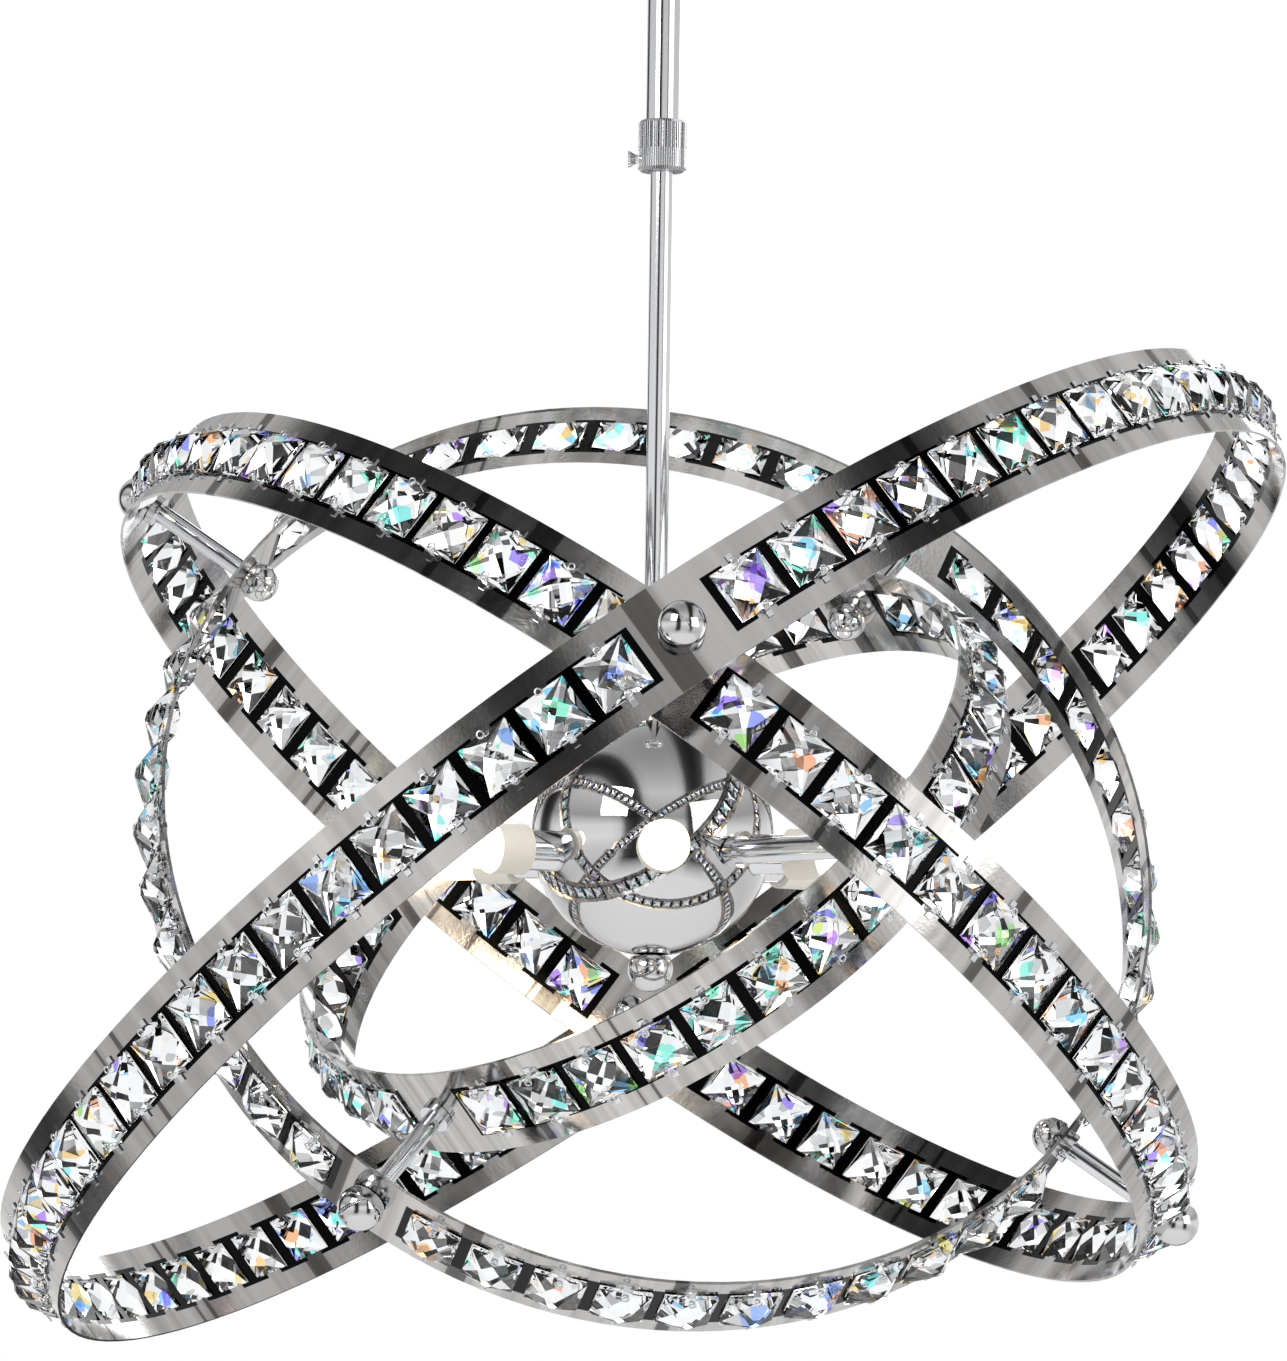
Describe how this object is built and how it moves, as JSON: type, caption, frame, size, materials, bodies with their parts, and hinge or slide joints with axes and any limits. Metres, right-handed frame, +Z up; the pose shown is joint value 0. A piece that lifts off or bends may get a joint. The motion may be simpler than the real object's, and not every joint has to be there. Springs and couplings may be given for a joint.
{
  "type": "orb chandelier",
  "caption": "Chromed orb chandelier: tilting hoops of strip set with square crystals round a ball hub with radial lamps, hung on a telescopic ceiling stem.",
  "frame": {"origin": "centre of the bracket's top face, where it lies on the ceiling, on the stem's axis", "axes": "+Z up into the ceiling along the stem; -Y towards the picture's viewer; +X to the viewer's right"},
  "size_m": [0.503, 0.6044, 0.7864],
  "materials": {
    "chrome": "polished",
    "dark_chrome": "polished",
    "crystal": "clear, cut facets",
    "bulb_glass": "clear, lit warm white",
    "ceramic": "matt",
    "steel": "zinc plated",
    "brass": "plain",
    "nylon": "natural"
  },
  "bodies": {
    "ceiling_mount": {"ceiling_bracket": "steel", "canopy_studs": "steel", "canopy_dish": "chrome", "canopy_cap_nuts": "chrome", "terminal_block": "nylon", "stem_nut": "steel", "stem_nipple": "steel", "stem_ferrule": "chrome", "tube_plug": "brass", "upper_tube": "chrome", "clamp_collar": "chrome", "collar_bush": "nylon"},
    "thumb_screw_body": {"thumb_screw": "chrome"},
    "stem_slide_body": {"guide_bush": "nylon"},
    "hub": {"lower_tube": "chrome", "tube_head": "brass", "retaining_ring": "steel", "hub_upper_shell": "chrome", "hub_lower_shell": "chrome", "hub_core": "brass", "through_rod": "steel", "finial_nut": "chrome", "hub_top_nut": "chrome", "lamp_arms": "steel", "lamp_necks": "chrome", "lamp_arm_nuts": "steel", "lamp_holders": "ceramic", "bulb_pins": "steel", "bulbs": "bulb_glass", "hub_pivot_rods": "chrome", "hub_pivot_flanges": "chrome", "hub_pivot_washers": "chrome", "hub_pivot_ball_nuts": "chrome"},
    "first_ring": {"first_ring_band": "chrome", "first_ring_crystals": "crystal", "first_ring_prongs": "chrome", "first_ring_pivot_rods": "chrome", "first_ring_pivot_washers": "chrome", "first_ring_pivot_inner_nuts": "chrome", "first_ring_pivot_outer_nuts": "chrome"},
    "second_ring": {"second_ring_band": "chrome", "second_ring_crystals": "crystal", "second_ring_prongs": "chrome", "second_ring_pivot_rods": "chrome", "second_ring_pivot_washers": "chrome", "second_ring_pivot_inner_nuts": "chrome", "second_ring_pivot_outer_nuts": "chrome"},
    "third_ring": {"third_ring_band": "chrome", "third_ring_crystals": "crystal", "third_ring_prongs": "chrome", "third_ring_pivot_rods": "chrome", "third_ring_pivot_washers": "chrome", "third_ring_pivot_inner_nuts": "chrome", "third_ring_pivot_outer_nuts": "chrome"},
    "fourth_ring": {"fourth_ring_band": "chrome", "fourth_ring_crystals": "crystal", "fourth_ring_prongs": "chrome"}
  },
  "joints": [
    {"name": "thumb_screw_turn", "type": "hinge", "parent": "ceiling_mount", "child": "thumb_screw_body", "pos_m": [-0.0097, 0, -0.3125], "axis": [-1, 0, 0], "range_deg": [0, 180]},
    {"name": "stem_slide", "type": "slide", "parent": "ceiling_mount", "child": "stem_slide_body", "axis": [0, 0, 1], "range_m": [-0.22, 0]},
    {"name": "orb_swivel", "type": "hinge", "parent": "stem_slide_body", "child": "hub", "pos_m": [0, 0, -0.06], "axis": [0, 0, 1], "range_deg": [-170, 170]},
    {"name": "first_ring_tilt", "type": "hinge", "parent": "hub", "child": "first_ring", "pos_m": [0, 0, -0.5915], "axis": [0.6691, -0.7431, 0], "range_deg": [-25, 20]},
    {"name": "second_ring_tilt", "type": "hinge", "parent": "first_ring", "child": "second_ring", "pos_m": [0, 0, -0.5915], "axis": [0.5346, 0.4813, 0.6947], "range_deg": [-25, 18]},
    {"name": "third_ring_tilt", "type": "hinge", "parent": "second_ring", "child": "third_ring", "pos_m": [0, 0, -0.5915], "axis": [0.8206, -0.0988, -0.563], "range_deg": [-25, 60]},
    {"name": "fourth_ring_tilt", "type": "hinge", "parent": "third_ring", "child": "fourth_ring", "pos_m": [0, 0, -0.5915], "axis": [0.0322, -0.9754, 0.2182], "range_deg": [-60, 15]}
  ]
}
